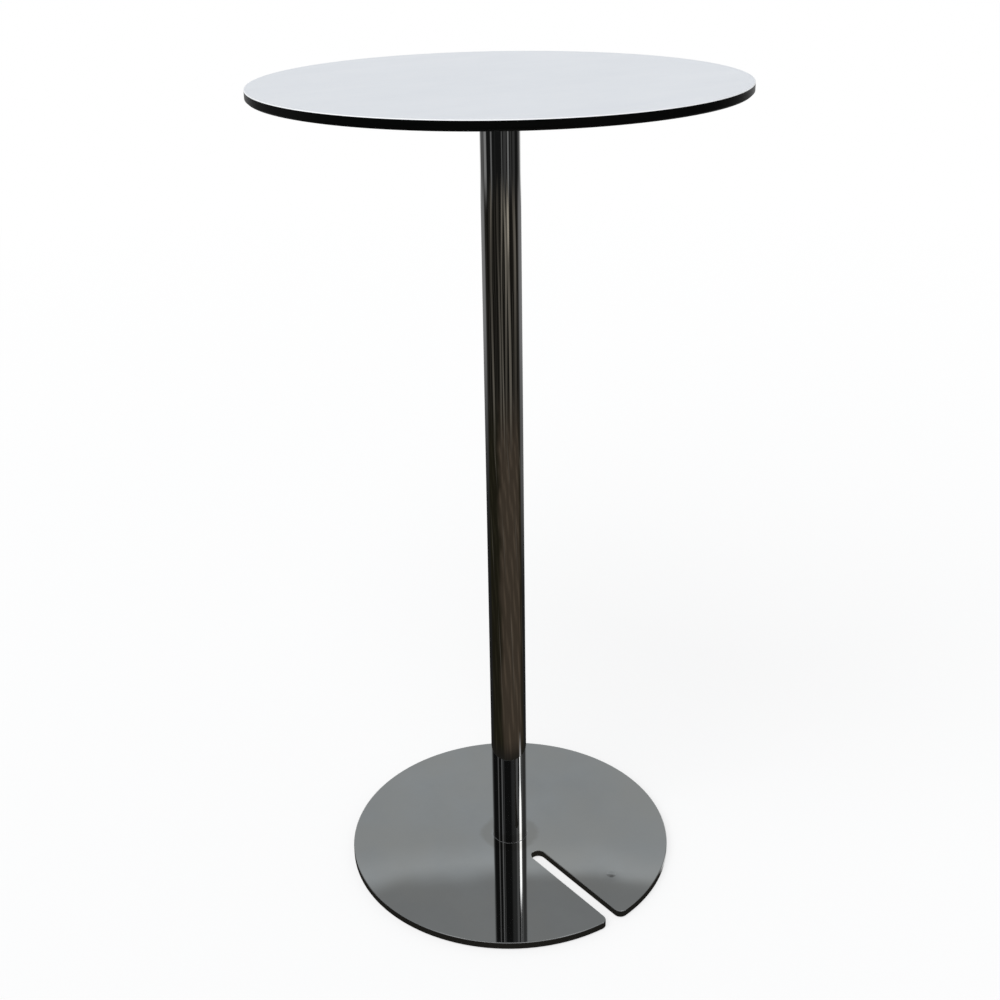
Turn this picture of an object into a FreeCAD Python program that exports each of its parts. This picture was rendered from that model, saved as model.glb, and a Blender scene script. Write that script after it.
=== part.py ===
import FreeCAD, Part
import math
import os

# Pedestal bar table: a round laminate top, one tube and a slotted polished base plate.
# Lengths are millimetres. Z is up, z = 0 is the floor and the slot opens towards -Y.

# Tabletop panel
overall_height = 1100.0
top_diameter = 600.0
top_thickness = 12.0
face_sheet_thickness = 1.0
back_sheet_thickness = 0.8
top_edge_radius = 0.9
top_lower_bevel = 2.0

# Column
column_diameter = 50.0
column_wall = 2.0
column_end_chamfer = 0.5
plug_length = 20.0
plug_chamfer = 1.0
plug_clearance = 0.1

# Base plate and its slot
base_diameter = 460.0
base_thickness = 10.0
base_edge_radius = 1.0
base_lower_chamfer = 0.5
slot_width = 20.0
slot_end_distance = 56.0
slot_mouth_radius = 10.0

# Glides pressed into blind holes under the base plate
glide_count = 6
glide_diameter = 28.0
glide_height = 2.0
glide_chamfer = 0.6
glide_edge_distance = 20.0
glide_stem_diameter = 8.0
glide_stem_clearance = 0.1
glide_hole_cover = 3.0
glide_hole_spare = 0.5

# Countersunk socket bolts that hold the column to both plates
column_bolt_count = 3
column_bolt_diameter = 8.0
column_bolt_head_diameter = 16.0
column_bolt_edge_distance = 9.0
column_bolt_hole_clearance = 0.5
column_bolt_head_recess = 0.3
column_bolt_seat_clearance = 0.05
column_bolt_tip_chamfer = 1.0
column_bolt_socket_flats = 5.0
column_bolt_socket_depth = 2.8
base_bolt_engagement = 15.3
top_bolt_engagement = 15.3

# Head plate under the top
head_plate_diameter = 220.0
head_plate_thickness = 5.0
head_plate_chamfer = 0.8

# Button-head screws, washers and inserts that hold the top to its head plate
top_screw_count = 6
top_screw_diameter = 6.0
top_screw_head_diameter = 10.5
top_screw_head_height = 3.3
top_screw_head_round = 2.2
top_screw_edge_distance = 15.0
top_screw_hole_clearance = 0.3
top_screw_engagement = 5.4
top_screw_tip_chamfer = 0.8
top_screw_socket_flats = 4.0
top_screw_socket_depth = 2.0
washer_diameter = 12.5
washer_thickness = 1.6
washer_hole_clearance = 0.2
insert_diameter = 8.0
insert_chamfer = 0.5
insert_cover = 3.0
insert_hole_spare = 0.3
thread_clearance = 0.05
press_clearance = 0.05

# Heights and radii that follow from the sizes above
base_bottom = glide_height
base_top = base_bottom + base_thickness
panel_bottom = overall_height - top_thickness
core_bottom = panel_bottom + back_sheet_thickness
core_top = overall_height - face_sheet_thickness
head_plate_bottom = panel_bottom - head_plate_thickness
column_radius = column_diameter / 2
column_bore_radius = column_radius - column_wall
plug_radius = column_bore_radius - plug_clearance
base_radius = base_diameter / 2
column_bolt_circle = plug_radius - column_bolt_edge_distance
top_screw_circle = head_plate_diameter / 2 - top_screw_edge_distance
glide_circle = base_radius - glide_edge_distance
insert_length = core_top - insert_cover - panel_bottom

ORIGIN = FreeCAD.Vector(0, 0, 0)
UP = FreeCAD.Vector(0, 0, 1)
BACKWARDS = FreeCAD.Vector(0, 1, 0)
BACK_DEGREES = 90
TOLERANCE = 1e-6
CUT_OVERRUN = 1.0


def at_height(height):
    return FreeCAD.Vector(0, 0, height)


def around(count, radius, height=0.0, first_degrees=0):
    """Evenly spaced places on a circle about the column's axis, counted from +X."""
    angles = [math.radians(first_degrees + 360 * index / count) for index in range(count)]
    return [FreeCAD.Vector(radius * math.cos(a), radius * math.sin(a), height) for a in angles]


def revolved(outline):
    """Solid of revolution about Z from a closed outline of (radius, height) corners."""
    corners = [FreeCAD.Vector(radius, 0, height) for radius, height in outline]
    return Part.Face(Part.makePolygon(corners + corners[:1])).revolve(ORIGIN, UP, 360)


def cylinder(radius, bottom, top):
    return Part.makeCylinder(radius, top - bottom, at_height(bottom))


def hex_prism(across_flats, bottom, top):
    corner_radius = across_flats / math.sqrt(3)
    corners = around(6, corner_radius, bottom)
    return Part.Face(Part.makePolygon(corners + corners[:1])).extrude(at_height(top - bottom))


def edges_at(solid, height):
    """Edges of a solid that lie wholly in one horizontal plane."""
    def is_level(edge):
        box = edge.BoundBox
        return abs(box.ZMin - height) < TOLERANCE and abs(box.ZMax - height) < TOLERANCE
    return [edge for edge in solid.Edges if is_level(edge)]


def column_bolt_places():
    """The bolts at either end of the column, one of them opposite the slot."""
    return around(column_bolt_count, column_bolt_circle, first_degrees=BACK_DEGREES)


def copies(solid, places):
    return [solid.translated(place) for place in places]


def without(solid, cutters):
    return solid.cut(Part.makeCompound(cutters)).removeSplitter()


def save(node, solids):
    """Write one node as a STEP file holding one solid or a group of like solids."""
    shape = solids[0] if len(solids) == 1 else Part.makeCompound(solids)
    shape.exportStep(os.path.join("parts", node + ".step"))


def panel_blank():
    """The whole tabletop before its layers part: rounded upper edge, bevelled lower edge."""
    blank = cylinder(top_diameter / 2, panel_bottom, overall_height)
    blank = blank.makeFillet(top_edge_radius, edges_at(blank, overall_height))
    return blank.makeChamfer(top_lower_bevel, edges_at(blank, panel_bottom))


def panel_layer(blank, bottom, top):
    return blank.common(cylinder(top_diameter, bottom, top))


def insert_holes():
    hole = cylinder(insert_diameter / 2 + press_clearance, panel_bottom - CUT_OVERRUN,
                    panel_bottom + insert_length + insert_hole_spare)
    return copies(hole, around(top_screw_count, top_screw_circle))


def threaded_insert():
    """Bush with lead-in chamfers at both mouths of its thread."""
    outer = insert_diameter / 2
    bore = top_screw_diameter / 2 + thread_clearance
    end = panel_bottom + insert_length
    return revolved([
        (bore + insert_chamfer, panel_bottom),
        (outer, panel_bottom),
        (outer, end - insert_chamfer),
        (outer - insert_chamfer, end),
        (bore, end),
        (bore, panel_bottom + insert_chamfer),
    ])


def washer():
    blank = cylinder(washer_diameter / 2, head_plate_bottom - washer_thickness, head_plate_bottom)
    bore = top_screw_diameter / 2 + washer_hole_clearance
    return blank.cut(cylinder(bore, head_plate_bottom - washer_thickness, head_plate_bottom))


def top_screw():
    """Button-head screw: the domed head hangs under the washer and holds a hexagon socket."""
    seat = head_plate_bottom - washer_thickness
    head_face = seat - top_screw_head_height
    head = cylinder(top_screw_head_diameter / 2, head_face, seat)
    head = head.makeFillet(top_screw_head_round, edges_at(head, head_face))
    tip = panel_bottom + top_screw_engagement
    shank = cylinder(top_screw_diameter / 2, seat, tip)
    shank = shank.makeChamfer(top_screw_tip_chamfer, edges_at(shank, tip))
    socket = hex_prism(top_screw_socket_flats, head_face, head_face + top_screw_socket_depth)
    return head.fuse(shank).removeSplitter().cut(socket)


def countersink(depth):
    """Cutter for a countersunk bolt, mouth down at z = 0, reaching through a plate's depth."""
    hole = (column_bolt_diameter + column_bolt_hole_clearance) / 2
    mouth = column_bolt_head_diameter / 2 + column_bolt_head_recess + column_bolt_seat_clearance
    cone_end = mouth - hole
    far_end = max(depth, cone_end) + CUT_OVERRUN
    return revolved([
        (0, 0),
        (mouth, 0),
        (hole, cone_end),
        (hole, far_end),
        (0, far_end),
    ])


def countersunk_bolt(plate_depth, engagement):
    """Bolt with its head face just inside a plate's outer face at z = 0, thread upwards."""
    face = column_bolt_head_recess
    shank = column_bolt_diameter / 2
    head = column_bolt_head_diameter / 2
    tip = plate_depth + engagement
    bolt = revolved([
        (0, face),
        (head, face),
        (shank, face + head - shank),
        (shank, tip - column_bolt_tip_chamfer),
        (shank - column_bolt_tip_chamfer, tip),
        (0, tip),
    ])
    return bolt.cut(hex_prism(column_bolt_socket_flats, face, face + column_bolt_socket_depth))


def turned_over(solid, height):
    """The same solid upside down, with its z = 0 plane brought to a height."""
    return solid.rotated(ORIGIN, BACKWARDS, 180).translated(at_height(height))


def head_plate():
    plate = cylinder(head_plate_diameter / 2, head_plate_bottom, panel_bottom)
    for height in (head_plate_bottom, panel_bottom):
        plate = plate.makeChamfer(head_plate_chamfer, edges_at(plate, height))
    screw_hole = cylinder(top_screw_diameter / 2 + top_screw_hole_clearance, head_plate_bottom, panel_bottom)
    screw_holes = copies(screw_hole, around(top_screw_count, top_screw_circle))
    sink = turned_over(countersink(head_plate_thickness), panel_bottom)
    return without(plate, screw_holes + copies(sink, column_bolt_places()))


def column_tube():
    wall_inside = column_bore_radius
    end_radius = column_radius - column_end_chamfer
    return revolved([
        (wall_inside, base_top),
        (end_radius, base_top),
        (column_radius, base_top + column_end_chamfer),
        (column_radius, head_plate_bottom - column_end_chamfer),
        (end_radius, head_plate_bottom),
        (wall_inside, head_plate_bottom),
    ])


def column_plug():
    """Threaded slug standing on z = 0, flush with the tube's end, chamfered where it enters."""
    blank = revolved([
        (0, 0),
        (plug_radius, 0),
        (plug_radius, plug_length - plug_chamfer),
        (plug_radius - plug_chamfer, plug_length),
        (0, plug_length),
    ])
    thread = cylinder(column_bolt_diameter / 2 + thread_clearance, 0, plug_length)
    return without(blank, copies(thread, column_bolt_places()))


def base_outline():
    """Disc opened by a radial slot: round inner end, and mouth corners blended into the rim."""
    half = slot_width / 2
    blend = slot_mouth_radius
    blend_x = half + blend
    blend_y = -math.sqrt((base_radius - blend) ** 2 - blend_x ** 2)
    rim_scale = base_radius / (base_radius - blend)
    end_y = -(slot_end_distance + half)

    def corner_points(side):
        centre = FreeCAD.Vector(side * blend_x, blend_y, base_bottom)
        corner = FreeCAD.Vector(side * half, -base_radius, base_bottom)
        on_rim = FreeCAD.Vector(side * blend_x * rim_scale, blend_y * rim_scale, base_bottom)
        middle = centre + (corner - centre).normalize() * blend
        on_slot = FreeCAD.Vector(side * half, blend_y, base_bottom)
        return on_rim, middle, on_slot

    right_rim, right_middle, right_slot = corner_points(1)
    left_rim, left_middle, left_slot = corner_points(-1)
    right_end = FreeCAD.Vector(half, end_y, base_bottom)
    left_end = FreeCAD.Vector(-half, end_y, base_bottom)
    apex = FreeCAD.Vector(0, -slot_end_distance, base_bottom)
    far_rim = FreeCAD.Vector(0, base_radius, base_bottom)
    curves = [
        Part.Arc(right_rim, far_rim, left_rim),
        Part.Arc(left_rim, left_middle, left_slot),
        Part.LineSegment(left_slot, left_end),
        Part.Arc(left_end, apex, right_end),
        Part.LineSegment(right_end, right_slot),
        Part.Arc(right_slot, right_middle, right_rim),
    ]
    return Part.Wire([curve.toShape() for curve in curves])


def base_plate():
    """Polished plate: rounded upper edge all along rim and slot, bolt and glide holes beneath."""
    plate = Part.Face(base_outline()).extrude(at_height(base_thickness))
    plate = plate.makeFillet(base_edge_radius, edges_at(plate, base_top))
    plate = plate.makeChamfer(base_lower_chamfer, edges_at(plate, base_bottom))
    sink = countersink(base_thickness).translated(at_height(base_bottom))
    glide_hole = cylinder(glide_stem_diameter / 2 + glide_stem_clearance, base_bottom - CUT_OVERRUN,
                          base_top - glide_hole_cover)
    glide_holes = copies(glide_hole, around(glide_count, glide_circle))
    return without(plate, glide_holes + copies(sink, column_bolt_places()))


def base_glide():
    """Low nylon glide: a flat foot with eased edges and a stem pressed into the plate."""
    foot = glide_diameter / 2
    stem = glide_stem_diameter / 2
    stem_end = base_top - glide_hole_cover - glide_hole_spare
    return revolved([
        (0, 0),
        (foot - glide_chamfer, 0),
        (foot, glide_chamfer),
        (foot, base_bottom),
        (stem, base_bottom),
        (stem, stem_end - glide_chamfer),
        (stem - glide_chamfer, stem_end),
        (0, stem_end),
    ])


def main():
    os.makedirs("parts", exist_ok=True)

    blank = panel_blank()
    save("tabletop_face_sheet", [panel_layer(blank, core_top, overall_height)])
    save("tabletop_core", [without(panel_layer(blank, core_bottom, core_top), insert_holes())])
    save("tabletop_back_sheet", [without(panel_layer(blank, panel_bottom, core_bottom), insert_holes())])

    screw_places = around(top_screw_count, top_screw_circle)
    save("threaded_inserts", copies(threaded_insert(), screw_places))
    save("top_plate", [head_plate()])
    save("top_plate_washers", copies(washer(), screw_places))
    save("top_plate_screws", copies(top_screw(), screw_places))

    top_bolt = turned_over(countersunk_bolt(head_plate_thickness, top_bolt_engagement), panel_bottom)
    base_bolt = countersunk_bolt(base_thickness, base_bolt_engagement).translated(at_height(base_bottom))
    save("column_tube", [column_tube()])
    save("column_top_plug", [turned_over(column_plug(), head_plate_bottom)])
    save("column_bottom_plug", [column_plug().translated(at_height(base_top))])
    save("column_top_bolts", copies(top_bolt, column_bolt_places()))
    save("column_base_bolts", copies(base_bolt, column_bolt_places()))

    save("base_plate", [base_plate()])
    for number, place in enumerate(around(glide_count, glide_circle), start=1):
        save(f"base_glide_{number}", [base_glide().translated(place)])


main()
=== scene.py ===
import math

import bpy
from mathutils import Matrix, Vector


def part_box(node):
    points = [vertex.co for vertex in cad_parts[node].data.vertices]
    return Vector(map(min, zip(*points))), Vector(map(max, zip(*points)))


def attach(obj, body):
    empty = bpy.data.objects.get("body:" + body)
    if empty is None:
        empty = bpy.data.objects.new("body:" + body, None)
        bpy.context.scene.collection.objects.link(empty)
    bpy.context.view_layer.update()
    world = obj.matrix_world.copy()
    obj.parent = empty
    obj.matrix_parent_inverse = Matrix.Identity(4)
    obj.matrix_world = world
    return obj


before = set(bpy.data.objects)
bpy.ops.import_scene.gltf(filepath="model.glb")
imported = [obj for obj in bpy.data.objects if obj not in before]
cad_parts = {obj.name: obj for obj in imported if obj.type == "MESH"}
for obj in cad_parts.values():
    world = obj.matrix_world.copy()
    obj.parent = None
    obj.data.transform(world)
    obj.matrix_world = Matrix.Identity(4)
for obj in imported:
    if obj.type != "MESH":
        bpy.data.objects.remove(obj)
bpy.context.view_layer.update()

# The table's own sizes in metres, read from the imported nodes
TOP_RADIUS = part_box("tabletop_core")[1].x
TUBE_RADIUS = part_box("column_tube")[1].x
BASE_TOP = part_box("base_plate")[1].z
BASE_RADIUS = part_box("base_plate")[1].x

# Marks on the table, in metres: places, and distances over which a mark starts or fades. A strength is
# the share of the mark's own colour, and the bead's seat is the share of its thickness by which its centre
# stands off the tube and the plate.
SCUFF_PLACE = (0.0517, -0.1660, BASE_TOP)
SCUFF_WANDER = 0.006
SCUFF_CORE = (0.001, 0.0048)
SCUFF_CORE_STRENGTH = 0.62
SCUFF_SMEAR = (0.003, 0.016)
SCUFF_SMEAR_STRENGTH = 0.14
BURR_PLACE = (0.0545, -0.1623, BASE_TOP)
BURR_REACH = 0.007
BURR_HEIGHT = 0.00012
# A darker uneven ring on the plate round the foot: how far it wanders, where it starts and fades, and its
# strength.
FOOT_RING_WANDER = 0.014
FOOT_RING_INNER = (TUBE_RADIUS, TUBE_RADIUS + 0.004)
FOOT_RING_OUTER = (TUBE_RADIUS + 0.012, TUBE_RADIUS + 0.021)
FOOT_RING_STRENGTH = 0.6
# A painted highlight along the top's eased rim: where it starts and where it is full.
RIM_HIGHLIGHT = (TOP_RADIUS - 0.0012, TOP_RADIUS - 0.0004)
BEAD_THICKNESS = 0.0003
BEAD_SEAT = 0.3
BEAD_STEPS_AROUND = 96
BEAD_STEPS_ACROSS = 10

# Camera: where it stands and how it is turned, in metres and degrees, its sensor in millimetres, and the
# photo's framing in pixels
IMAGE_SIZE = 1000
SENSOR_WIDTH = 36.0
CAMERA_AZIMUTH = -37.6
CAMERA_DISTANCE = 1.6761
CAMERA_HEIGHT = 1.3153
CAMERA_YAW = -0.495
CAMERA_PITCH = 21.742
CAMERA_ROLL = -1.019
FOCAL_PIXELS = 1378.2
AXIS_PIXEL = (493.2, 434.0)

# Studio: pale floor and soft light, in metres and degrees
FLOOR_REACH = 45.0
FLOOR_COLOUR = (0.955, 0.958, 0.962)
FLOOR_LIFT = 0.68
FLOOR_WHITE_FROM = 1.0
FLOOR_WHITE_AT = 4.5
WHITE = (1.0, 1.0, 1.0, 1.0)
AMBIENT_COLOUR = (0.98, 0.99, 1.0, 1.0)
AMBIENT_LEVEL = 0.58
KEY_STRENGTH = 1.8
KEY_BEARING = -30.0
KEY_ELEVATION = 48.0
KEY_SPREAD = 50.0

# Surround that only reflections see: a dome of walls and a floor of boards, in metres. The dome's rings
# are given as runs of elevations in degrees: first, step and count.
WALL_RADIUS = 6.0
BEARING_STEPS = 720
ELEVATION_RUNS = ((0.0, 0.6, 50), (30.0, 0.25, 64), (46.0, 1.0, 44))
BOARD_HEIGHT = 0.0005
BOARD_HOLE = 0.02
BOARD_RINGS = 130

# Colours of the surround
DARK_WALL = (0.012, 0.012, 0.012)
SIDE_WALL = (0.13, 0.13, 0.13)
MIDDLE_WALL = (0.30, 0.31, 0.315)
BACK_WALL_LOW = (0.372, 0.388, 0.394)
BACK_WALL_HIGH = (0.248, 0.254, 0.254)
PALE_BACKDROP = (1.0, 1.0, 1.0)
CEILING = (1.1, 1.1, 1.1)
WINDOW_GLOW = (3.2, 3.2, 3.2)
WOOD_TONE = (0.080, 0.0618, 0.0445)
WOOD_SHADE = (0.0218, 0.0198, 0.0118)
WOOD_TINT = (1.0, 0.91, 0.76)
NEAR_BOARDS = (0.020, 0.0185, 0.016)
BOARD_FLECK = (0.20, 0.18, 0.15)
BOARD_GLINT = (0.55, 0.55, 0.55)
BOARD_SHEEN = (0.75, 0.75, 0.75)
UNDER_PLATE = (0.40, 0.40, 0.40)

# Upright strips of the surround: bearing, half width and fade in degrees, and brightness. The low ones
# show in the upper column, the board ones below them, and the raised ones in the plate and the foot.
LOW_STRIPS = (
    (-122.0, 9.0, 8.0, 0.13),
    (-95.0, 7.0, 6.0, 0.30),
    (-52.5, 3.0, 2.5, 0.19),
    (-30.0, 1.5, 2.0, 0.02),
    (8.0, 2.0, 2.0, 0.11),
    (25.0, 6.0, 4.0, 0.06),
    (44.0, 3.0, 3.0, 0.25),
    (60.0, 3.0, 3.0, 0.05),
    (80.0, 6.0, 5.0, 0.05),
)
BOARD_STRIPS = (
    (-62.0, 4.0, 4.0, 0.13),
    (-19.0, 2.5, 3.0, 0.10),
    (0.0, 2.5, 2.5, 0.17),
    (19.0, 3.5, 3.0, 0.17),
    (39.0, 5.0, 4.0, 0.19),
    (78.0, 6.0, 5.0, 0.11),
)
RAISED_STRIPS = (
    (-77.0, 3.0, 2.5, 0.17),
    (-49.0, 2.5, 3.0, 0.24),
    (-36.5, 1.5, 2.5, 0.09),
    (32.0, 12.0, 14.0, 0.05),
    (54.0, 5.0, 7.0, 0.17),
    (92.0, 6.0, 6.0, 0.17),
    (113.0, 11.0, 8.0, 0.075),
)

# Where the walls change, in degrees of elevation
LOW_STRIPS_END = (12.0, 17.0)
RAISED_START = (31.6, 32.8)
RAISED_END = (43.2, 45.2)
BACKDROP_END = (24.0, 31.0)
CEILING_START = (60.0, 76.0)
WINDOW_OPENS = (34.6, 36.8)
WINDOW_CLOSES = (40.2, 42.4)
WINDOW_DIMS = (40.3, 42.1)

# The line above which the back wall is darker: its elevation, how far it wanders and how soft it is, and
# how far below it the wall starts to brighten and is brightest, all in degrees of elevation
BACK_WALL_TURN = 40.05
TURN_SWAY = 0.07
TURN_RIPPLE = 0.04
TURN_LIFT = 0.2
TURN_SOFT_LEFT = 0.62
TURN_SOFT_RIGHT = 0.42
BRIGHT_FROM = 1.9
BRIGHT_AT = 0.5

# Where the walls change, in degrees of bearing: to either side of the camera's, except that the line's
# lift is counted from straight behind
WINDOW_BEARING = 76.8
WINDOW_HALF = 6.2
WINDOW_FADE = 5.0
LOW_SIDES = (108.0, 128.0)
RAISED_SIDES = (116.0, 150.0)
BACK_LEFT = (138.0, 154.0)
BACK_RIGHT = (132.0, 154.0)
TURN_LIFT_RISE = (5.0, 10.0)

# How strongly the walls change, as shares. The window keeps the slit's share of its half width at its ends
# and gains the swell's share between them.
WINDOW_SLIT = 0.08
WINDOW_SWELL = 0.92
WINDOW_DIMMING = 0.88
BRIGHTENING = 0.14
PATCH_LEVEL = 0.98
PATCH_DEPTH = 0.05

# Where the boards change, in degrees of bearing: bands have a centre, a half width and a fade
LEFT_SHADE = (-95.0, 42.0, 34.0)
RIGHT_SHADE = (108.0, 12.0, 8.0)
GLINT_BEARINGS = (39.0, 2.5, 4.0)
SHEEN_BEARINGS = (WINDOW_BEARING, 1.0, 8.0)
BOARDS_BEHIND = (104.0, 121.0)
RIGHT_STREAKS_FROM = 10.0
STREAK_SWAY = 4.0

# Where the boards change, in metres from the column's axis or, beside the slot, from its middle
SHEEN_END = (BASE_RADIUS, BASE_RADIUS + 0.09)
PLATE_SHADOW_END = (BASE_RADIUS + 0.01, BASE_RADIUS + 0.07)
UNDER_PLATE_END = (BASE_RADIUS - 0.006, BASE_RADIUS - 0.003)
BESIDE_SLOT = (0.012, 0.016)
STREAKS_START = (1.4, 2.1)
RIGHT_STREAKS_RISE = (2.2, 4.2)
LOOSE_STREAKS_CHANGE = 3.0
GLINT_DISTANCES = (4.05, 0.15, 0.6)
LEFT_GLOW_RISE = (1.0, 2.8)
RIGHT_GLOW_FIRST_RISE = (0.7, 1.5)
RIGHT_GLOW_SECOND_RISE = (1.5, 2.6)
BOARDS_END = (4.2, 5.2)

# How strongly the boards change, as shares or brightness
RIGHT_SHADE_DEPTH = 0.75
GRAIN_LEVEL = 0.84
GRAIN_DEPTH = 0.5
FLECK_STRENGTH = 0.6
STREAK_PULSE = 0.35
RIGHT_STREAKS_LEVEL = 0.65
RIGHT_STREAKS_GAIN = 0.6
LOOSE_STREAKS = 0.03
BEHIND_LEVEL = 0.02
BEHIND_GLOW = 0.25
RIGHT_GLOW_FIRST = 0.5
RIGHT_GLOW_SECOND = 0.4

# Waves that make up the fine streaks: height, rate per degree and share of the turn. Peaks are the values
# of a pattern from which it shows. The rates and phases of other sines only spread a pattern, and stand
# where they are used.
STREAK_WAVES = ((1.0, 0.52, 1.0), (0.8, 0.31, 2.1), (0.6, 0.83, 0.7))
STREAK_PEAKS = (0.1, 1.7)
FLECK_PEAKS = (0.88, 1.0)


def add(tree, kind, inputs=None, **properties):
    """Add a shader node, set its properties, and set or link its inputs by name or number."""
    node = tree.nodes.new(kind)
    for name, value in properties.items():
        setattr(node, name, value)
    for name, value in (inputs or {}).items():
        if isinstance(value, bpy.types.NodeSocket):
            tree.links.new(value, node.inputs[name])
        else:
            node.inputs[name].default_value = value
    return node


def calculate(tree, operation, first, second=0.0, third=0.0):
    node = add(tree, "ShaderNodeMath", {0: first, 1: second, 2: third}, operation=operation)
    return node.outputs[0]


def object_place(tree):
    """Position on the piece in metres, in the table's own frame."""
    return add(tree, "ShaderNodeTexCoord").outputs["Object"]


def noise(tree, place, scale, detail=3.0, roughness=0.55):
    inputs = {"Vector": place, "Scale": scale, "Detail": detail, "Roughness": roughness}
    return add(tree, "ShaderNodeTexNoise", inputs).outputs[0]


def drawn_noise(tree, place, scales, detail, roughness=0.55):
    """Noise with its own scale along each axis, for grain, scratches and layers."""
    drawn = add(tree, "ShaderNodeMapping", {"Vector": place, "Scale": scales}).outputs[0]
    return noise(tree, drawn, 1.0, detail, roughness)


def ranged(tree, value, low, high, to_low, to_high, smooth=False):
    """Map a value's range to another range, clamped at both ends."""
    inputs = {"Value": value, "From Min": low, "From Max": high, "To Min": to_low, "To Max": to_high}
    kind = "SMOOTHSTEP" if smooth else "LINEAR"
    return add(tree, "ShaderNodeMapRange", inputs, interpolation_type=kind).outputs[0]


def rising(tree, value, low, high, smooth=False):
    """0 up to the low value and 1 from the high one."""
    return ranged(tree, value, low, high, 0.0, 1.0, smooth)


def falling(tree, value, low, high, smooth=False):
    """1 up to the low value and 0 from the high one."""
    return ranged(tree, value, low, high, 1.0, 0.0, smooth)


def blended(tree, factor, first, second):
    """Mix two colours, given as colour sockets or as RGB triples."""
    node = add(tree, "ShaderNodeMix", {0: factor}, data_type="RGBA")
    for socket, colour in ((node.inputs[6], first), (node.inputs[7], second)):
        if isinstance(colour, bpy.types.NodeSocket):
            tree.links.new(colour, socket)
        else:
            socket.default_value = (*colour, 1.0)
    return node.outputs[2]


def mottled(tree, pattern, first, second, low=0.3, high=0.7):
    """Two close colours, mixed by a noise pattern."""
    return blended(tree, rising(tree, pattern, low, high), first, second)


def bumped(tree, height, distance, strength=1.0, below=None):
    inputs = {"Height": height, "Distance": distance, "Strength": strength}
    if below is not None:
        inputs["Normal"] = below
    return add(tree, "ShaderNodeBump", inputs).outputs[0]


def facing_up(tree):
    """How far the surface itself faces up: 1 is level and up, -1 is level and down."""
    normal = add(tree, "ShaderNodeNewGeometry").outputs["True Normal"]
    return add(tree, "ShaderNodeSeparateXYZ", {0: normal}).outputs[2]


def distance_from(tree, place, point):
    inputs = {0: place, 1: point}
    return add(tree, "ShaderNodeVectorMath", inputs, operation="DISTANCE").outputs["Value"]


def axis_distance(tree, place):
    """Distance from the column's axis."""
    parts = add(tree, "ShaderNodeSeparateXYZ", {0: place}).outputs
    flat = add(tree, "ShaderNodeCombineXYZ", {0: parts[0], 1: parts[1]}).outputs[0]
    return add(tree, "ShaderNodeVectorMath", {0: flat}, operation="LENGTH").outputs["Value"]


def new_material(name, **shader_inputs):
    """A material with its node tree and principled shader; uniform values go straight on the shader."""
    material = bpy.data.materials.new(name)
    material.use_nodes = True
    tree = material.node_tree
    shader = tree.nodes["Principled BSDF"]
    for key, value in shader_inputs.items():
        shader.inputs[key.replace("_", " ")].default_value = value
    return material, tree, shader


def wire(tree, shader, **sockets):
    for key, socket in sockets.items():
        tree.links.new(socket, shader.inputs[key.replace("_", " ")])


def white_laminate():
    """Cool white decor sheet: a fine suede emboss, faint clouding, wiped patches and a painted highlight on
    the eased rim.
    """
    material, tree, shader = new_material("white_laminate", Specular_IOR_Level=0.35)
    place = object_place(tree)
    clouds = noise(tree, place, scale=9.0, detail=4.0)
    suede = noise(tree, place, scale=2600.0, detail=2.0)
    wiped = drawn_noise(tree, place, (5.0, 26.0, 5.0), detail=5.0, roughness=0.6)
    # Painted highlight: the eased rim is given a paler colour where light would catch it.
    rim = rising(tree, axis_distance(tree, place), *RIM_HIGHLIGHT, smooth=True)
    colour = mottled(tree, clouds, (0.73, 0.76, 0.805), (0.755, 0.783, 0.825))
    colour = blended(tree, rim, colour, (0.88, 0.895, 0.91))
    wire(tree, shader, Base_Color=colour,
         Roughness=ranged(tree, wiped, 0.35, 0.7, 0.36, 0.46),
         Normal=bumped(tree, suede, distance=0.00002, strength=0.35))
    return material


def black_backing():
    """Black backing sheet of the underside: matt, with a fine grain, faint clouding, handling marks and a
    cut edge darkened with painted shade."""
    material, tree, shader = new_material("black_backing", Specular_IOR_Level=0.3)
    place = object_place(tree)
    clouds = noise(tree, place, scale=7.0, detail=4.0)
    grain = noise(tree, place, scale=1500.0, detail=2.0)
    marks = drawn_noise(tree, place, (3.0, 14.0, 3.0), detail=5.0, roughness=0.6)
    # Painted shade: faces that don't look straight down, the cut edge and its bevel, are given a darker
    # colour.
    edge = rising(tree, facing_up(tree), -0.98, -0.9)
    colour = mottled(tree, clouds, (0.020, 0.020, 0.021), (0.027, 0.027, 0.028))
    colour = blended(tree, rising(tree, marks, 0.45, 0.75), colour, (0.034, 0.034, 0.034))
    colour = blended(tree, edge, colour, (0.0075, 0.0075, 0.008))
    wire(tree, shader, Base_Color=colour,
         Roughness=ranged(tree, clouds, 0.3, 0.7, 0.48, 0.62),
         Normal=bumped(tree, grain, distance=0.00003, strength=0.4))
    return material


def black_core():
    """Pressed paper core at the milled edge: fine level layers and faint cutter ripple."""
    material, tree, shader = new_material("black_core", Specular_IOR_Level=0.14)
    place = object_place(tree)
    layers = drawn_noise(tree, place, (14.0, 14.0, 5200.0), detail=2.0)
    ripple = drawn_noise(tree, place, (420.0, 420.0, 6.0), detail=2.0)
    colour = mottled(tree, layers, (0.0006, 0.0008, 0.0007), (0.002, 0.0022, 0.0021), low=0.35)
    height = calculate(tree, "MULTIPLY_ADD", ripple, 0.6, layers)
    wire(tree, shader, Base_Color=colour,
         Roughness=ranged(tree, layers, 0.3, 0.7, 0.34, 0.46),
         Normal=bumped(tree, height, distance=0.00003, strength=0.5))
    return material


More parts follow.
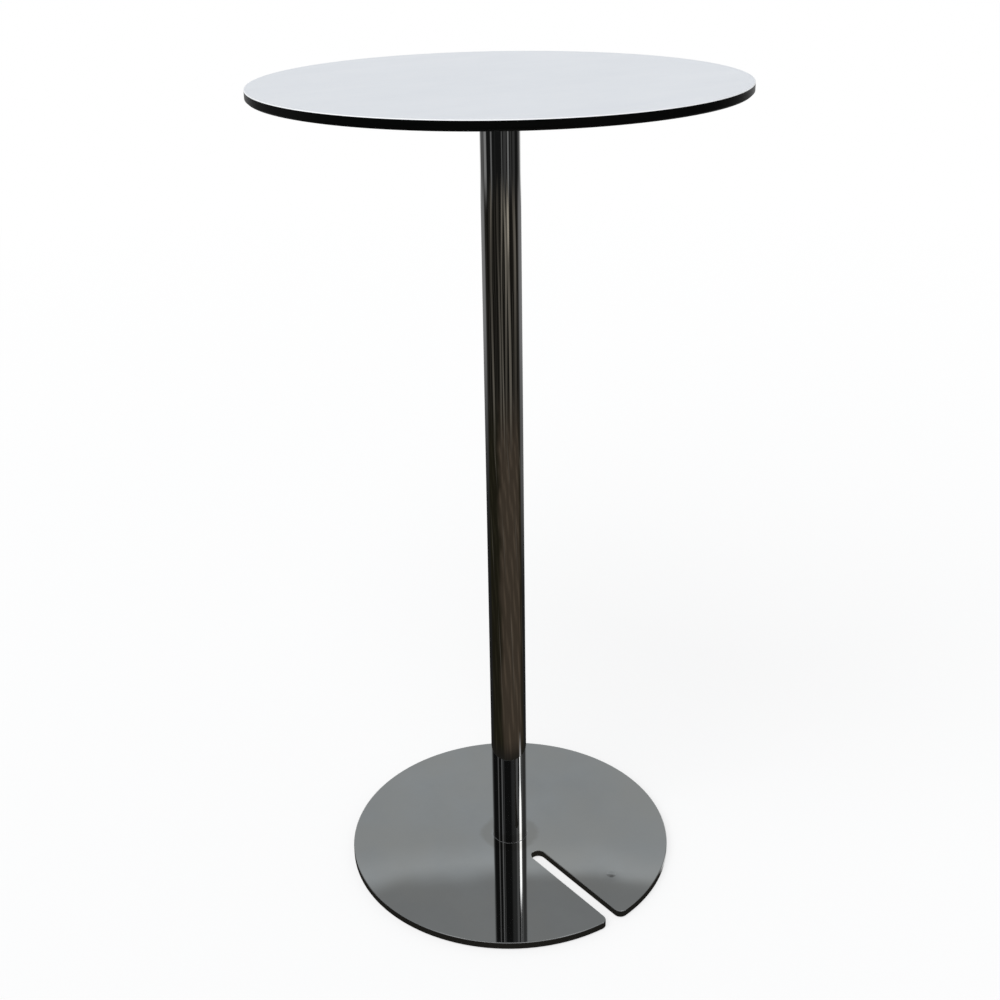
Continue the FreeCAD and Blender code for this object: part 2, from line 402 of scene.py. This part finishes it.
def column_chrome():
    """Bright chrome on drawn tube: faint lengthwise waves, fine haze and a few rubbed patches."""
    material, tree, shader = new_material("column_chrome", Metallic=1.0)
    place = object_place(tree)
    waves = drawn_noise(tree, place, (45.0, 45.0, 6.0), detail=2.0)
    rubbed = drawn_noise(tree, place, (24.0, 24.0, 5.0), detail=5.0, roughness=0.6)
    colour = mottled(tree, rubbed, (0.585, 0.588, 0.59), (0.535, 0.533, 0.525), high=0.75)
    wire(tree, shader, Base_Color=colour,
         Roughness=ranged(tree, rubbed, 0.4, 0.8, 0.02, 0.06),
         Normal=bumped(tree, waves, distance=0.00002))
    return material


def wandering(tree, distance, pattern, reach):
    """A distance that a noise pattern shifts to and fro, by half of the reach at most."""
    shift = calculate(tree, "MULTIPLY_ADD", pattern, reach, -0.5 * reach)
    return calculate(tree, "ADD", distance, shift)


def dark_foot_ring(tree, place):
    """Strength of the faint uneven darker ring on the plate round the foot."""
    uneven = noise(tree, place, scale=55.0)
    distance = wandering(tree, axis_distance(tree, place), uneven, FOOT_RING_WANDER)
    inner = rising(tree, distance, *FOOT_RING_INNER, smooth=True)
    outer = falling(tree, distance, *FOOT_RING_OUTER, smooth=True)
    ring = calculate(tree, "MULTIPLY", inner, outer)
    return calculate(tree, "MULTIPLY", ring, FOOT_RING_STRENGTH)


def scuff(tree, place):
    """Strength of the scuff near the slot's mouth: a small dark core in a wider smear."""
    uneven = noise(tree, place, scale=420.0)
    distance = wandering(tree, distance_from(tree, place, SCUFF_PLACE), uneven, SCUFF_WANDER)
    core = ranged(tree, distance, *SCUFF_CORE, SCUFF_CORE_STRENGTH, 0.0, smooth=True)
    smear = ranged(tree, distance, *SCUFF_SMEAR, SCUFF_SMEAR_STRENGTH, 0.0, smooth=True)
    return calculate(tree, "MAXIMUM", core, smear)


def polished_base_steel():
    """Mirror-polished plate: faint rolled waves, hairline scratches, wiped haze, warmer clouds, a faint
    darker uneven ring round the foot, a scuff with a low burr near the slot's mouth, cut striations on the
    rim and slot walls, and a plain ground underside."""
    material, tree, shader = new_material("polished_base_steel", Metallic=1.0)
    place = object_place(tree)
    up = facing_up(tree)
    on_wall = falling(tree, calculate(tree, "ABSOLUTE", up), 0.55, 0.85)
    below = falling(tree, up, -0.9, -0.5)

    haze = noise(tree, place, scale=11.0, detail=5.0, roughness=0.62)
    warmth = noise(tree, place, scale=6.5, detail=3.0, roughness=0.6)
    tone = mottled(tree, haze, (0.6, 0.615, 0.622), (0.545, 0.557, 0.562), high=0.75)
    tone = blended(tree, ranged(tree, warmth, 0.4, 0.68, 0.0, 0.8), tone, (0.598, 0.594, 0.576))
    tone = blended(tree, dark_foot_ring(tree, place), tone, (0.455, 0.447, 0.426))
    tone = blended(tree, scuff(tree, place), tone, (0.2, 0.2, 0.2))
    tone = blended(tree, below, tone, (0.42, 0.42, 0.42))

    lengthwise = drawn_noise(tree, place, (900.0, 14.0, 1.0), detail=1.0)
    crosswise = drawn_noise(tree, place, (17.0, 760.0, 1.0), detail=1.0)
    hairlines = calculate(tree, "MAXIMUM", rising(tree, lengthwise, 0.70, 0.78),
                          rising(tree, crosswise, 0.70, 0.78))
    polish = ranged(tree, haze, 0.4, 0.8, 0.016, 0.045)
    gloss = calculate(tree, "MULTIPLY_ADD", hairlines, 0.035, polish)
    gloss = calculate(tree, "MULTIPLY_ADD", on_wall, 0.16, gloss)
    gloss = calculate(tree, "MULTIPLY_ADD", below, 0.3, gloss)

    striations = drawn_noise(tree, place, (1900.0, 1900.0, 60.0), detail=2.0)
    ground_lines = drawn_noise(tree, place, (6.0, 1500.0, 1.0), detail=2.0)
    height = calculate(tree, "MULTIPLY", striations, on_wall)
    height = calculate(tree, "MULTIPLY_ADD", ground_lines, below, height)
    burr = falling(tree, distance_from(tree, place, BURR_PLACE), 0.0, BURR_REACH, smooth=True)
    relief = bumped(tree, noise(tree, place, scale=14.0, detail=1.0), distance=0.00004)
    relief = bumped(tree, burr, distance=BURR_HEIGHT, below=relief)
    relief = bumped(tree, height, distance=0.00002, strength=0.5, below=relief)
    wire(tree, shader, Base_Color=tone, Roughness=gloss, Normal=relief)
    return material


def coated_steel():
    """Black powder coat with a fine leathery grain."""
    material, tree, shader = new_material("coated_steel", Specular_IOR_Level=0.45)
    place = object_place(tree)
    grain = noise(tree, place, scale=900.0, detail=3.0, roughness=0.6)
    clouds = noise(tree, place, scale=30.0, detail=3.0)
    colour = mottled(tree, clouds, (0.030, 0.030, 0.031), (0.044, 0.044, 0.045))
    wire(tree, shader, Base_Color=colour,
         Roughness=ranged(tree, grain, 0.3, 0.7, 0.42, 0.58),
         Normal=bumped(tree, grain, distance=0.00012, strength=0.5))
    return material


def worn_metal(name, bright, dull, smooth, rough, grain_scale):
    """Small metal parts: two close tones and a turned or plated grain."""
    material, tree, shader = new_material(name, Metallic=1.0)
    place = object_place(tree)
    patches = noise(tree, place, scale=160.0, detail=4.0, roughness=0.6)
    grain = drawn_noise(tree, place, (grain_scale, grain_scale, grain_scale * 3.0), detail=2.0)
    wire(tree, shader, Base_Color=mottled(tree, patches, bright, dull),
         Roughness=ranged(tree, patches, 0.3, 0.7, smooth, rough),
         Normal=bumped(tree, grain, distance=0.00002, strength=0.4))
    return material


def glide_nylon():
    """Moulded black nylon, scuffed to grey where it meets the floor."""
    material, tree, shader = new_material("glide_nylon", Specular_IOR_Level=0.4)
    place = object_place(tree)
    scuffs = drawn_noise(tree, place, (300.0, 900.0, 300.0), detail=3.0)
    sole = falling(tree, facing_up(tree), -0.95, -0.7)
    worn = calculate(tree, "MULTIPLY", rising(tree, scuffs, 0.45, 0.7), sole)
    colour = blended(tree, worn, (0.02, 0.02, 0.021), (0.07, 0.068, 0.064))
    wire(tree, shader, Base_Color=colour,
         Roughness=ranged(tree, scuffs, 0.3, 0.7, 0.45, 0.65),
         Normal=bumped(tree, scuffs, distance=0.00004, strength=0.4))
    return material


def dress_nodes():
    """Give every node of the model its finish."""
    zinc = worn_metal("zinc_steel", bright=(0.62, 0.63, 0.65), dull=(0.5, 0.51, 0.52),
                      smooth=0.22, rough=0.34, grain_scale=700.0)
    turned = worn_metal("turned_steel", bright=(0.5, 0.5, 0.5), dull=(0.4, 0.4, 0.39),
                        smooth=0.28, rough=0.4, grain_scale=1200.0)
    oxide = worn_metal("black_bolt_steel", bright=(0.06, 0.06, 0.062), dull=(0.035, 0.035, 0.036),
                       smooth=0.32, rough=0.46, grain_scale=900.0)
    brass = worn_metal("insert_brass", bright=(0.78, 0.57, 0.27), dull=(0.62, 0.43, 0.19),
                       smooth=0.24, rough=0.38, grain_scale=1200.0)
    finishes = {
        "tabletop_face_sheet": white_laminate(),
        "tabletop_core": black_core(),
        "tabletop_back_sheet": black_backing(),
        "threaded_inserts": brass,
        "top_plate": coated_steel(),
        "top_plate_screws": zinc,
        "top_plate_washers": zinc,
        "column_tube": column_chrome(),
        "column_top_plug": turned,
        "column_bottom_plug": turned,
        "column_top_bolts": oxide,
        "column_base_bolts": oxide,
        "base_plate": polished_base_steel(),
    }
    nylon = glide_nylon()
    for name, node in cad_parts.items():
        node.material_slots[0].material = finishes.get(name, nylon)


def toward_camera(bearing):
    """Level direction at a bearing from the table: 0 is towards the camera, positive to its right."""
    turn = math.radians(CAMERA_AZIMUTH + bearing)
    return Vector((math.sin(turn), -math.cos(turn), 0.0))


def make_camera():
    """The photo's camera, whose axis is shifted off the middle of the frame."""
    data = bpy.data.cameras.new("camera")
    data.sensor_width = SENSOR_WIDTH
    data.lens = FOCAL_PIXELS / IMAGE_SIZE * SENSOR_WIDTH
    data.shift_x = 0.5 - AXIS_PIXEL[0] / IMAGE_SIZE
    data.shift_y = AXIS_PIXEL[1] / IMAGE_SIZE - 0.5
    camera = bpy.data.objects.new("camera", data)
    bpy.context.scene.collection.objects.link(camera)
    turn = (Matrix.Rotation(math.radians(CAMERA_AZIMUTH - CAMERA_YAW), 3, "Z")
            @ Matrix.Rotation(math.radians(90.0 - CAMERA_PITCH), 3, "X")
            @ Matrix.Rotation(math.radians(CAMERA_ROLL), 3, "Z"))
    camera.location = toward_camera(0.0) * CAMERA_DISTANCE + Vector((0.0, 0.0, CAMERA_HEIGHT))
    camera.rotation_euler = turn.to_euler()
    bpy.context.scene.camera = camera


def make_foot_bead():
    """Fine bead in the seam where the tube stands on the plate."""
    around, across, thickness = BEAD_STEPS_AROUND, BEAD_STEPS_ACROSS, BEAD_THICKNESS
    points = []
    for turn in range(around):
        angle = 2.0 * math.pi * turn / around
        for step in range(across):
            tilt = 2.0 * math.pi * step / across
            reach = TUBE_RADIUS + thickness * (BEAD_SEAT + math.cos(tilt))
            height = BASE_TOP + thickness * (BEAD_SEAT + math.sin(tilt))
            points.append((reach * math.cos(angle), reach * math.sin(angle), height))
    faces = []
    for turn in range(around):
        for step in range(across):
            here, beside = turn * across, (turn + 1) % around * across
            after = (step + 1) % across
            faces.append((here + step, beside + step, beside + after, here + after))
    mesh = bpy.data.meshes.new("foot_bead")
    mesh.from_pydata(points, [], faces)
    mesh.shade_smooth()
    steel = worn_metal("bead_steel", bright=(0.46, 0.46, 0.46), dull=(0.36, 0.36, 0.36),
                       smooth=0.2, rough=0.32, grain_scale=900.0)
    mesh.materials.append(steel)
    bead = bpy.data.objects.new("foot_bead", mesh)
    bpy.context.scene.collection.objects.link(bead)
    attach(bead, "root")


def seen_directly(tree):
    """1 for the camera's own rays and those that mirrors or glass pass on."""
    path = add(tree, "ShaderNodeLightPath").outputs
    seen = calculate(tree, "MAXIMUM", path["Is Camera Ray"], path["Is Glossy Ray"])
    return calculate(tree, "MAXIMUM", seen, path["Is Transmission Ray"])


def make_floor():
    """Pale floor that keeps the table's shadow, lifted part of the way to white, and all the way far off.
    It has no lower face, so the table's underside can be looked at from below."""
    mesh = bpy.data.meshes.new("floor")
    reach = FLOOR_REACH
    corners = [(-reach, -reach, 0.0), (reach, -reach, 0.0), (reach, reach, 0.0), (-reach, reach, 0.0)]
    mesh.from_pydata(corners, [], [(0, 1, 2, 3)])
    material, tree, shader = new_material("pale_floor", Specular_IOR_Level=0.0, Roughness=0.9)
    shader.inputs["Base Color"].default_value = (*FLOOR_COLOUR, 1.0)
    white = add(tree, "ShaderNodeEmission", {"Color": WHITE, "Strength": 1.0})
    distance = axis_distance(tree, object_place(tree))
    whiter = ranged(tree, distance, FLOOR_WHITE_FROM, FLOOR_WHITE_AT, FLOOR_LIFT, 1.0)
    lift = calculate(tree, "MULTIPLY", seen_directly(tree), whiter)
    shown = add(tree, "ShaderNodeMixShader", {0: lift, 1: shader.outputs[0], 2: white.outputs[0]})
    beneath = add(tree, "ShaderNodeNewGeometry").outputs["Backfacing"]
    clear = add(tree, "ShaderNodeBsdfTransparent")
    one_sided = add(tree, "ShaderNodeMixShader", {0: beneath, 1: shown.outputs[0], 2: clear.outputs[0]})
    tree.links.new(one_sided.outputs[0], tree.nodes["Material Output"].inputs["Surface"])
    material.cycles.emission_sampling = "NONE"
    mesh.materials.append(material)
    floor = bpy.data.objects.new("floor", mesh)
    bpy.context.scene.collection.objects.link(floor)


def soft_step(value, low, high):
    """0 up to the low value and 1 from the high one, with a smooth passage."""
    share = min(max((value - low) / (high - low), 0.0), 1.0)
    return share * share * (3.0 - 2.0 * share)


def soft_band(value, centre, half_width, fade):
    """1 inside a band about a centre, fading to 0 outside it."""
    return 1.0 - soft_step(abs(value - centre), half_width, half_width + fade)


def between(first, second, share):
    return tuple(a + (b - a) * share for a, b in zip(first, second))


def scaled(colour, factor):
    return tuple(value * factor for value in colour)


def striped(tone, strips, bearing):
    for centre, half, fade, bright in strips:
        tone = between(tone, (bright,) * 3, soft_band(bearing, centre, half, fade))
    return tone


def fine_streaks(bearing, turn):
    """Irregular thin upright streaks, 0 to 1, that differ from one turn to the next."""
    waves = sum(height * math.sin(rate * bearing + share * turn) for height, rate, share in STREAK_WAVES)
    return soft_step(waves, *STREAK_PEAKS)


def window_share(bearing, elevation):
    """How much of the bright window shows: it tapers to both ends and dims at the upper one."""
    opened = soft_step(elevation, *WINDOW_OPENS) * (1.0 - soft_step(elevation, *WINDOW_CLOSES))
    half = WINDOW_HALF * (WINDOW_SLIT + WINDOW_SWELL * opened)
    lit = 1.0 - WINDOW_DIMMING * soft_step(elevation, *WINDOW_DIMS)
    return soft_band(bearing, WINDOW_BEARING, half, WINDOW_FADE) * lit


def front_wall(bearing, elevation):
    """The surround before and beside the table: dark with strips, and plain grey between and above them."""
    side = abs(bearing)
    low = striped(between(DARK_WALL, SIDE_WALL, soft_step(side, *LOW_SIDES)), LOW_STRIPS, bearing)
    raised = striped(between(DARK_WALL, SIDE_WALL, soft_step(side, *RAISED_SIDES)), RAISED_STRIPS, bearing)
    raised = between(raised, WINDOW_GLOW, window_share(bearing, elevation))
    tone = between(low, MIDDLE_WALL, soft_step(elevation, *LOW_STRIPS_END))
    tone = between(tone, raised, soft_step(elevation, *RAISED_START))
    return between(tone, MIDDLE_WALL, soft_step(elevation, *RAISED_END))


def back_wall(bearing, elevation):
    """The surround behind the table: a pale backdrop, a grey that brightens upwards, and a darker grey
    above a wandering line."""
    lifted = TURN_LIFT * soft_step(180.0 - abs(bearing), *TURN_LIFT_RISE)
    turn = BACK_WALL_TURN - TURN_SWAY * math.sin(math.radians(54.0 * bearing) + 1.0)
    turn += TURN_RIPPLE * math.sin(math.radians(101.0 * bearing)) + lifted
    brighter = 1.0 + BRIGHTENING * soft_step(elevation, turn - BRIGHT_FROM, turn - BRIGHT_AT)
    soft = TURN_SOFT_LEFT if bearing < 0.0 else TURN_SOFT_RIGHT
    above = soft_step(elevation, turn - soft, turn + soft)
    grey = between(scaled(BACK_WALL_LOW, brighter), BACK_WALL_HIGH, above)
    patch = 0.5 + 0.25 * math.sin(0.31 * bearing + 0.4) + 0.25 * math.sin(0.9 * elevation + 0.17 * bearing)
    grey = scaled(grey, PATCH_LEVEL + PATCH_DEPTH * patch)
    return between(PALE_BACKDROP, grey, soft_step(elevation, *BACKDROP_END))


def wall_tone(bearing, elevation):
    """Colour of the walls at a bearing and elevation in degrees."""
    behind = soft_step(abs(bearing), *(BACK_LEFT if bearing < 0.0 else BACK_RIGHT))
    tone = between(front_wall(bearing, elevation), back_wall(bearing, elevation), behind)
    return between(tone, CEILING, soft_step(elevation, *CEILING_START))


def board_streaks(bearing, radius):
    """Light streaks on the boards further out, which wander and pulse with the distance from the table."""
    tone = DARK_WALL
    for centre, half, fade, bright in BOARD_STRIPS:
        wander = math.sin(1.7 * radius + 0.11 * centre)
        share = soft_band(bearing, centre + STREAK_SWAY * wander, half, fade)
        bright *= 1.0 + STREAK_PULSE * wander
        if centre > RIGHT_STREAKS_FROM:
            bright *= RIGHT_STREAKS_LEVEL + RIGHT_STREAKS_GAIN * soft_step(radius, *RIGHT_STREAKS_RISE)
        tone = between(tone, (bright,) * 3, share)
    glint = soft_band(bearing, *GLINT_BEARINGS) * soft_band(radius, *GLINT_DISTANCES)
    tone = between(tone, BOARD_GLINT, glint)
    loose = LOOSE_STREAKS * fine_streaks(bearing, 0.8 if radius < LOOSE_STREAKS_CHANGE else 2.9)
    return tuple((value + loose) * tint for value, tint in zip(tone, WOOD_TINT))


def plain_boards(bearing, radius):
    """Brown boards near the table: shaded at the sides, with streaky grain and a few pale flecks."""
    ragged = bearing + 6.0 * math.sin(17.0 * radius) + 4.0 * math.sin(41.0 * radius)
    shade = max(soft_band(ragged, *LEFT_SHADE), RIGHT_SHADE_DEPTH * soft_band(bearing, *RIGHT_SHADE))
    tone = between(WOOD_TONE, WOOD_SHADE, shade)
    fleck = math.sin(0.12 * bearing + 5.0 * radius + 1.0) * math.sin(13.0 * radius + 0.2 * bearing)
    tone = between(tone, BOARD_FLECK, FLECK_STRENGTH * soft_step(fleck, *FLECK_PEAKS))
    return scaled(tone, GRAIN_LEVEL + GRAIN_DEPTH * fine_streaks(0.4 * bearing, 21.0 * radius))


def boards_behind(bearing, radius):
    """Grey boards behind the table, brighter with the distance from it."""
    reach = soft_step(radius, *LEFT_GLOW_RISE)
    if bearing >= 0.0:
        reach = RIGHT_GLOW_FIRST * soft_step(radius, *RIGHT_GLOW_FIRST_RISE)
        reach += RIGHT_GLOW_SECOND * soft_step(radius, *RIGHT_GLOW_SECOND_RISE)
    return (BEHIND_LEVEL + BEHIND_GLOW * reach,) * 3


def under_plate(bearing, radius):
    """1 beneath the plate and beside its slot, where only the plate's underside reflects the floor."""
    turn = math.radians(CAMERA_AZIMUTH + bearing)
    across = abs(radius * math.sin(turn))
    beside_slot = soft_step(across, *BESIDE_SLOT) if math.cos(turn) > 0.0 else 1.0
    return beside_slot * (1.0 - soft_step(radius, *UNDER_PLATE_END))


def board_tone(bearing, radius):
    """Colour of the boards round the table: brown near it, streaked further out, then as the walls."""
    streaked = soft_step(radius, *STREAKS_START)
    tone = between(plain_boards(bearing, radius), board_streaks(bearing, radius), streaked)
    tone = between(tone, boards_behind(bearing, radius), soft_step(abs(bearing), *BOARDS_BEHIND))
    tone = between(tone, wall_tone(bearing, 0.0), soft_step(radius, *BOARDS_END))
    tone = between(NEAR_BOARDS, tone, soft_step(radius, *PLATE_SHADOW_END))
    sheen = soft_band(bearing, *SHEEN_BEARINGS) * (1.0 - soft_step(radius, *SHEEN_END))
    tone = between(tone, BOARD_SHEEN, sheen)
    return between(tone, UNDER_PLATE, under_plate(bearing, radius))


def reflected_only(name, rings, colours):
    """A surface of rings of points, painted point by point, that only mirror-like surfaces see."""
    mesh = bpy.data.meshes.new(name)
    count = len(rings[0])
    points = [point for ring in rings for point in ring]
    faces = []
    for level in range(len(rings) - 1):
        here, above = level * count, (level + 1) * count
        for index in range(count):
            after = (index + 1) % count
            faces.append((here + index, here + after, above + after, above + index))
    mesh.from_pydata(points, [], faces)
    layer = mesh.color_attributes.new("tone", "FLOAT_COLOR", "POINT")
    layer.data.foreach_set("color", [value for colour in colours for value in (*colour, 1.0)])
    material = bpy.data.materials.new(name)
    material.use_nodes = True
    tree = material.node_tree
    tree.nodes.clear()
    painted = add(tree, "ShaderNodeVertexColor", layer_name="tone").outputs["Color"]
    glow = add(tree, "ShaderNodeEmission", {"Color": painted, "Strength": 1.0})
    add(tree, "ShaderNodeOutputMaterial", {"Surface": glow.outputs[0]})
    material.cycles.emission_sampling = "NONE"
    mesh.materials.append(material)
    card = bpy.data.objects.new(name, mesh)
    bpy.context.scene.collection.objects.link(card)
    card.visible_camera = False
    card.visible_diffuse = False
    card.visible_shadow = False
    card.visible_transmission = False
    card.visible_volume_scatter = False


def level_ring(bearings, radius, height):
    return [toward_camera(bearing) * radius + Vector((0.0, 0.0, height)) for bearing in bearings]


def make_surround():
    """Dark room round the table and dark boards under it, for the reflections."""
    bearings = [360.0 * index / BEARING_STEPS - 180.0 for index in range(BEARING_STEPS)]
    rings = []
    colours = []
    for first, step, count in ELEVATION_RUNS:
        for level in range(count):
            elevation = first + step * level
            lift = math.radians(elevation)
            rings.append(level_ring(bearings, WALL_RADIUS * math.cos(lift), WALL_RADIUS * math.sin(lift)))
            colours.extend(wall_tone(bearing, elevation) for bearing in bearings)
    reflected_only("reflected_walls", rings, colours)

    span = WALL_RADIUS - BOARD_HOLE
    radii = [BOARD_HOLE + span * (ring / BOARD_RINGS) ** 2 for ring in range(BOARD_RINGS + 1)]
    radii = sorted(radii + list(UNDER_PLATE_END))
    rings = [level_ring(bearings, radius, BOARD_HEIGHT) for radius in radii]
    colours = [board_tone(bearing, radius) for radius in radii for bearing in bearings]
    reflected_only("reflected_boards", rings, colours)


def make_lights():
    """White to the camera and in mirrors, a plain soft level on everything, and one broad key light."""
    world = bpy.data.worlds.new("studio")
    world.use_nodes = True
    tree = world.node_tree
    tree.nodes.clear()
    ambient = add(tree, "ShaderNodeBackground", {"Color": AMBIENT_COLOUR, "Strength": AMBIENT_LEVEL})
    white = add(tree, "ShaderNodeBackground", {"Color": WHITE, "Strength": 1.0})
    inputs = {0: seen_directly(tree), 1: ambient.outputs[0], 2: white.outputs[0]}
    shown = add(tree, "ShaderNodeMixShader", inputs)
    add(tree, "ShaderNodeOutputWorld", {"Surface": shown.outputs[0]})
    bpy.context.scene.world = world

    data = bpy.data.lights.new("key", "SUN")
    data.energy = KEY_STRENGTH
    data.angle = math.radians(KEY_SPREAD)
    key = bpy.data.objects.new("key", data)
    bpy.context.scene.collection.objects.link(key)
    lift = math.radians(KEY_ELEVATION)
    source = toward_camera(KEY_BEARING) * math.cos(lift) + Vector((0.0, 0.0, math.sin(lift)))
    key.rotation_euler = source.to_track_quat("Z", "Y").to_euler()
    key.visible_glossy = False


dress_nodes()
make_foot_bead()
make_floor()
make_surround()
make_lights()
make_camera()
bpy.context.scene.view_settings.view_transform = "Standard"
